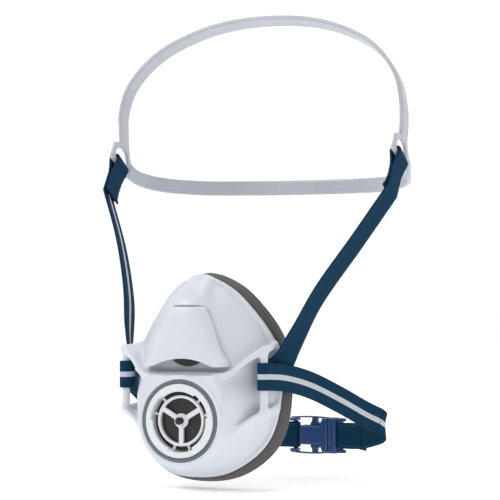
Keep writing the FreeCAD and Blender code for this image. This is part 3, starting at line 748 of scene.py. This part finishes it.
def upper_strap(name, flip, node):
    """The sewn loop through the cradle's slot, then down to the shell's bar and behind it."""
    inner = ((28, -2.7), (25, -1.3), (20, -0.75), (14, -0.85), (10, -1.5), (7, -2.2))
    outer = ((7, 2.2), (10, 1.4), (14, 0.7), (20, 0.65))
    turn = [(4.15 - 2.9 * math.sin(a), -2.9 * math.cos(a)) for a in np.linspace(0, math.pi, 11)]
    loop = [slot_point(down, out) for down, out in (*inner, *turn, *outer)]
    route = [slot_point(27, 0.65), (74.5, 74, 98), (59, 54, 67), (51.8, 40.5, 45), (45.9, 31, 29),
             (40.8, 25.3, 24.6), (BAR_X - BAR_REACH, BAR_Y + 2.6, STRAP_Z)]
    path = smooth_path(route)
    sides = [SLOT_WAY] * len(loop) + turn_directions(SLOT_WAY, DOWN, len(path), 0.55, 0.97)
    piece = band(name, loop + path, sides, flip=flip)
    return settle(piece, [WEB_PLAIN, WEB_STRIPED], "root", [node])


STITCH_ROWS = (12.5, 14.0, 22.5)
STITCH_PLACES = np.arange(-6.2, 6.3, 1.55)
STITCH_OUT = (1.3, -1.4)


def make_seam(name, flip):
    """Rows of small slanting stitches across both faces of a sewn loop."""
    points, faces = [], []
    up, deep = SLOT_DOWN * 0.22, np.array((0.18, 0, 0))
    for down, across, out in itertools.product(STITCH_ROWS, STITCH_PLACES, STITCH_OUT):
        base = len(points)
        start = slot_point(down, out) + SLOT_WAY * (across - 0.5)
        end = slot_point(down + 0.35, out) + SLOT_WAY * (across + 0.5)
        for p in (start, end):
            points += [p - up, p + deep, p + up, p - deep]
        for i in range(4):
            after = (i + 1) % 4
            faces.append((base + i, base + after, base + 4 + after, base + 4 + i))
        faces += [(base + 3, base + 2, base + 1, base), (base + 4, base + 5, base + 6, base + 7)]
    if flip:
        points = [point * MIRROR for point in points]
    return settle(new_mesh(name, points, faces), THREAD, "root")


def neck_path(route):
    """From behind the shell's left bar, round its outside and along a route."""
    turn = [np.array((BAR_X + BAR_REACH * math.cos(a), BAR_Y + BAR_REACH * math.sin(a), STRAP_Z))
            for a in np.linspace(math.pi, 2 * math.pi, 15)]
    wrap = [turn[0] + (0, 2.4, 0), turn[0] + (0, 1.2, 0)] + turn
    return wrap + smooth_path([wrap[-1]] + route)[1:]


# The middle of the buckle's socket end, the two pins along it, and the left webbing's turn and end
BUCKLE = np.array((13.4, 125.0, -15.0))
SOCKET_PIN, PLUG_PIN = 2.8, 31.5
LEFT_TURN, LEFT_END = (76.5, 105, -4.5), (59.4, 120.9, -14.7)


def pin_turn(along, sense):
    """Half a turn round a pin, from its front to its back."""
    return [BUCKLE + (along + PIN_REACH * math.sin(a) * sense, -PIN_REACH * math.cos(a), 0)
            for a in np.linspace(0, math.pi, 9)]


def left_neck_webbing():
    """Three pieces: to the turn, back to the buckle, and round the plug half's pin."""
    route = [(49, 30, 23), (55.5, 50, 18.5), (64, 75, 9), (72, 96, -0.5), LEFT_TURN]
    path = neck_path(route)
    piece = band("neck_strap_left", path, [DOWN] * len(path))
    settle(piece, [WEB_PLAIN, WEB_STRIPED], "root", ["left_neck_strap"])
    route = [LEFT_TURN, (77.7, 109.8, -7.2), (74.2, 114.5, -10.2), (66, 118, -13), LEFT_END]
    path = smooth_path(route, 1.2)
    piece = band("neck_strap_return", path, [DOWN] * len(path))
    settle(piece, [WEB_PLAIN, WEB_STRIPED], None, ["left_strap_return"])
    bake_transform(piece)
    path = smooth_path([LEFT_END, (53, 122.2, -15), BUCKLE + (PLUG_PIN, -PIN_REACH, 0)], 1.5)[:-1]
    path += pin_turn(PLUG_PIN, -1)
    tail = [BUCKLE + (PLUG_PIN, PIN_REACH, 0), BUCKLE + (39.5, 2.4, 0), BUCKLE + (47.5, 3.4, -1.5)]
    path += smooth_path(tail, 1.5)[1:]
    piece = band("neck_strap_end", path, [DOWN] * len(path))
    settle(piece, [WEB_PLAIN, WEB_STRIPED], "male_half", ["left_strap_end"])


def right_neck_webbing():
    """From the right bar, behind the neck and round the socket half's pin."""
    route = [(49, 30, 23), (54.5, 50, 18.5), (57, 75, 9), (47, 103, -3.5), (22, 120, -12), (-4, 122.8, -15)]
    path = [point * MIRROR for point in neck_path(route)]
    path += pin_turn(SOCKET_PIN, 1) + [BUCKLE + (-8, 1.4, 0), BUCKLE + (-20, -0.2, 0)]
    piece = band("neck_strap_right", path, [UP] * len(path))
    settle(piece, [WEB_PLAIN, WEB_STRIPED], "root", ["right_neck_strap"])


def make_straps():
    for side, flip in (("left", False), ("right", True)):
        upper_strap(f"upper_strap_{side}", flip, f"{side}_upper_strap")
    for side, flip in (("left", False), ("right", True)):
        make_seam(f"loop_stitches_{side}", flip)
    left_neck_webbing()
    right_neck_webbing()


# ---- head cradle ----

# The web's bars in the slot's plane, as (along, up) at both ends and a radius
WEB_BARS = (
    ((-10, -4.2), (10, -4.2), 1.9), ((-10.3, -4), (-10.3, 3.5), 1.7), ((10.3, -4), (10.3, 3.5), 1.9),
    ((-10.3, 3), (-4.0, 8.5), 1.8), ((10.3, 3), (4.0, 8.5), 1.8), ((-4, 8.5), (4, 8.5), 1.9),
)


def cradle_web(flip):
    """The Y-shaped web with the strap slot, in the slot's own plane, then set in place."""
    grid = Field((-17, -2, -10), (17, 2, 26), 0.4)
    bars = [rod(grid.x, 0, grid.z, (u0, 0, w0), (u1, 0, w1), radius)
            for (u0, w0), (u1, w1), radius in WEB_BARS]
    flat = bars[0]
    for bar in bars[1:]:
        flat = union(flat, bar, 1.5)
    points, faces = surface_net(common(flat, abs(grid.y) - 1.1, 0.7), grid)
    points = points @ np.stack([SLOT_WAY, np.array((1.0, 0, 0)), -SLOT_DOWN]) + SLOT
    if flip:
        points = points * MIRROR
        faces = faces[:, ::-1]
    return soften(new_mesh("cradle_web", points, faces), 0.5, 3)


def joined(name, pieces):
    """One object from several, which are removed. Their UV maps don't match, so none is kept."""
    shape = bmesh.new()
    for piece in pieces:
        for layer in list(piece.data.uv_layers):
            piece.data.uv_layers.remove(layer)
        shape.from_mesh(piece.data)
        bpy.data.objects.remove(piece)
    mesh = bpy.data.meshes.new(name)
    shape.to_mesh(mesh)
    shape.free()
    whole = bpy.data.objects.new(name, mesh)
    bpy.context.scene.collection.objects.link(whole)
    return whole


def both_sides(half):
    """A route over the middle plane, from the points of its left half."""
    return half + [(-x, y, z) for x, y, z in reversed(half)]


def make_cradle():
    """Crown arch, level rear band and side webs, joined into one moulding."""
    arch_half = [tuple(slot_point(-8, 0)), (90.6, 108, 167), (90.4, 107.6, 177), (86, 110, 193.5),
                 (70, 115.5, 212.5), (44, 120, 225.5), (18, 122, 231)]
    rear_half = [(90, 111.6, 144.4), (88.8, 121, 140), (82, 136, 136.5), (64, 153, 134.5), (34, 164, 134)]
    arch_path, rear_path = smooth_path(both_sides(arch_half), 3.0), smooth_path(both_sides(rear_half), 3.0)
    arch = band("arch", arch_path, [(0, 0.93, -0.36)] * len(arch_path), 10.0, 2.2)
    rear = band("rear", rear_path, [UP] * len(rear_path), 9.0, 2.2)
    piece = joined("head_cradle_moulding", [arch, rear, cradle_web(False), cradle_web(True)])
    return settle(piece, CRADLE_GREY, "root", ["head_cradle"])


# ---- buckle ----

# Worked out from the middle of the socket half's end, with X along the buckle
SOCKET_LONG = 24.4


def buckle_grid():
    return Field((-1, -5, -14), (36, 5, 14), FINE * 0.55)


def buckle_piece(name, shape, grid, body, nodes):
    points, faces = surface_net(shape, grid)
    piece = soften(new_mesh(name, points + BUCKLE, faces), 0.4, 2)
    return settle(piece, BUCKLE_BLUE, body, nodes)


def make_buckle_socket():
    """A waisted core between two thin bowed rails, with a cavity for the plug and a webbing pin."""
    grid = buckle_grid()
    x, y, z = grid.x, grid.y, grid.z
    middle = SOCKET_LONG / 2
    waist = np.clip((x - 4.0) / 1.6, 0, 1) * np.clip((20.8 - x) / 1.6, 0, 1)
    core = common(abs(z) - 10.2 + 4.4 * waist, abs(x - middle) - middle, 1.5)
    bow = 10.1 + 0.6 * np.sin(np.clip(x / SOCKET_LONG, 0, 1) * math.pi)
    rail = common(common(abs(abs(z) - bow) - 0.5, abs(x - middle) - 12.0), abs(y) - 2.2, 0.6)
    shape = union(common(core, abs(y) - 4.0, 1.5), rail, 0.5)
    cavity = block(x, y, z, (17, 0, 0), (8.5, 2.5, 9.3), 0.5)
    webbing_hole = block(x, y, z, (SOCKET_PIN, 0, 0), (3.8, 10, 8.2), 1.0)
    shape = cut(cut(shape, cavity, 0.5), webbing_hole, 0.5)
    shape = union(shape, rod(x, y, z, (SOCKET_PIN, 0, -9), (SOCKET_PIN, 0, 9), PIN_RADIUS), 0.6)
    buckle_piece("buckle_socket_half", shape, grid, "root", ["buckle_female"])


def make_buckle_plug():
    """The plug's shoulder with two arms to its webbing pin, and the tongue between the prongs."""
    grid = buckle_grid()
    x, y, z = grid.x, grid.y, grid.z
    shape = common(common(abs(z) - 10.6, abs(x - 27.0) - 2.5, 0.8), abs(y) - 4.0, 1.6)
    for sign in (-1, 1):
        shape = union(shape, block(x, y, z, (30.4, 0, sign * 9.3), (4.2, 1.5, 1.0), 0.6), 0.6)
    shape = union(shape, rod(x, y, z, (PLUG_PIN, 0, -9), (PLUG_PIN, 0, 9), PIN_RADIUS), 0.5)
    shape = union(shape, block(x, y, z, (20.5, 0, 0), (4.7, 1.5, 3.0), 0.8), 0.5)
    buckle_piece("buckle_plug_half", shape, grid, "male_half", ["buckle_male"])


def make_buckle_prongs():
    """Two flat arms from the plug's shoulder, each with a head that shows in the waist."""
    grid = buckle_grid()
    x, y = grid.x, grid.y
    for sign, label in ((1, "upper"), (-1, "lower")):
        up = grid.z * sign
        arm = rod(x, 0, up, (13.4, 0, 6.5), (23.6, 0, 6.5), 0.9)
        head = block(x, y, up, (15.2, 0, 8.0), (1.7, 1.8, 2.2), 0.6)
        shape = common(union(arm, head, 1.5), abs(y) - 1.8, 0.6)
        buckle_piece(f"buckle_prong_{label}_arm", shape, grid, f"{label}_prong", [f"buckle_prong_{label}"])


def finish_cad_node():
    """The exhalation seat keeps its CAD shape and gets a moulded finish."""
    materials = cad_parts["exhalation_seat"].data.materials
    materials.clear()
    materials.append(VALVE_WHITE)


# ---- stage, light and camera ----

AZIMUTH, ELEVATION = 24.0, -1.0
TARGET = Vector((0.0151, 0.060, 0.0936))
DISTANCE, FOCAL, SENSOR = 1.15, 146.0, 36.0
FLOOR_HALF, FLOOR_DROP = 6.0, 0.004


def make_stage():
    """A pale floor just below the part."""
    low = cad_bounds[0][2] - FLOOR_DROP
    mesh = bpy.data.meshes.new("floor")
    corners = [(x * FLOOR_HALF, y * FLOOR_HALF, low) for x, y in ((-1, -1), (1, -1), (1, 1), (-1, 1))]
    mesh.from_pydata(corners, [], [(0, 1, 2, 3)])
    floor = bpy.data.objects.new("floor", mesh)
    bpy.context.scene.collection.objects.link(floor)
    white, _, _ = new_material("floor_white", (0.9, 0.9, 0.9), 0.9, Emission_Color=(1, 1, 1, 1),
                               Emission_Strength=0.35)
    mesh.materials.append(white)


def soft_light(name, place, energy, size):
    """A square lamp that faces the part."""
    aim = (0.0, 0.05, 0.05)
    light = bpy.data.lights.new(name, "AREA")
    light.energy = energy
    light.size = size
    lamp = bpy.data.objects.new(name, light)
    lamp.location = place
    lamp.rotation_euler = (Vector(aim) - Vector(place)).to_track_quat("-Z", "Y").to_euler()
    bpy.context.scene.collection.objects.link(lamp)


def make_lights():
    """A white surround, brighter behind the mask than in front of it, and three soft lamps."""
    world = bpy.data.worlds.new("studio")
    world.use_nodes = True
    tree = world.node_tree
    facing = add(tree, "ShaderNodeTexCoord").outputs["Generated"]
    way = add(tree, "ShaderNodeSeparateXYZ", [("Vector", facing)])
    limits = [("From Min", -0.3), ("From Max", 0.4), ("To Min", 0.38), ("To Max", 1.05)]
    depth = add(tree, "ShaderNodeMapRange", [("Value", way.outputs["Y"])] + limits)
    tree.links.new(depth.outputs[0], tree.nodes["Background"].inputs["Strength"])
    tree.nodes["Background"].inputs["Color"].default_value = (1, 1, 1, 1)
    bpy.context.scene.world = world
    soft_light("key_light", (-0.9, -0.9, 1.3), 13, 0.6)
    soft_light("fill_light", (1.3, -0.8, 0.4), 2.5, 1.0)
    soft_light("top_light", (0.1, 0.3, 1.4), 4, 0.8)


def make_camera():
    az, el = math.radians(AZIMUTH), math.radians(ELEVATION)
    forward = Vector((-math.sin(az) * math.cos(el), math.cos(az) * math.cos(el), -math.sin(el)))
    data = bpy.data.cameras.new("camera")
    data.lens = FOCAL
    data.sensor_width = SENSOR
    camera = bpy.data.objects.new("camera", data)
    camera.location = TARGET - forward * DISTANCE
    camera.rotation_euler = forward.to_track_quat("-Z", "Y").to_euler()
    bpy.context.scene.collection.objects.link(camera)
    bpy.context.scene.camera = camera


make_stage()
make_lights()
make_camera()
make_shell()
make_hood()
make_seal()
make_socket()
make_seat()
make_gasket()
make_inhalation_flap()
make_exhalation_flap()
make_straps()
make_cradle()
make_buckle_socket()
make_buckle_plug()
make_buckle_prongs()
finish_cad_node()
bpy.context.scene.view_settings.view_transform = "Standard"
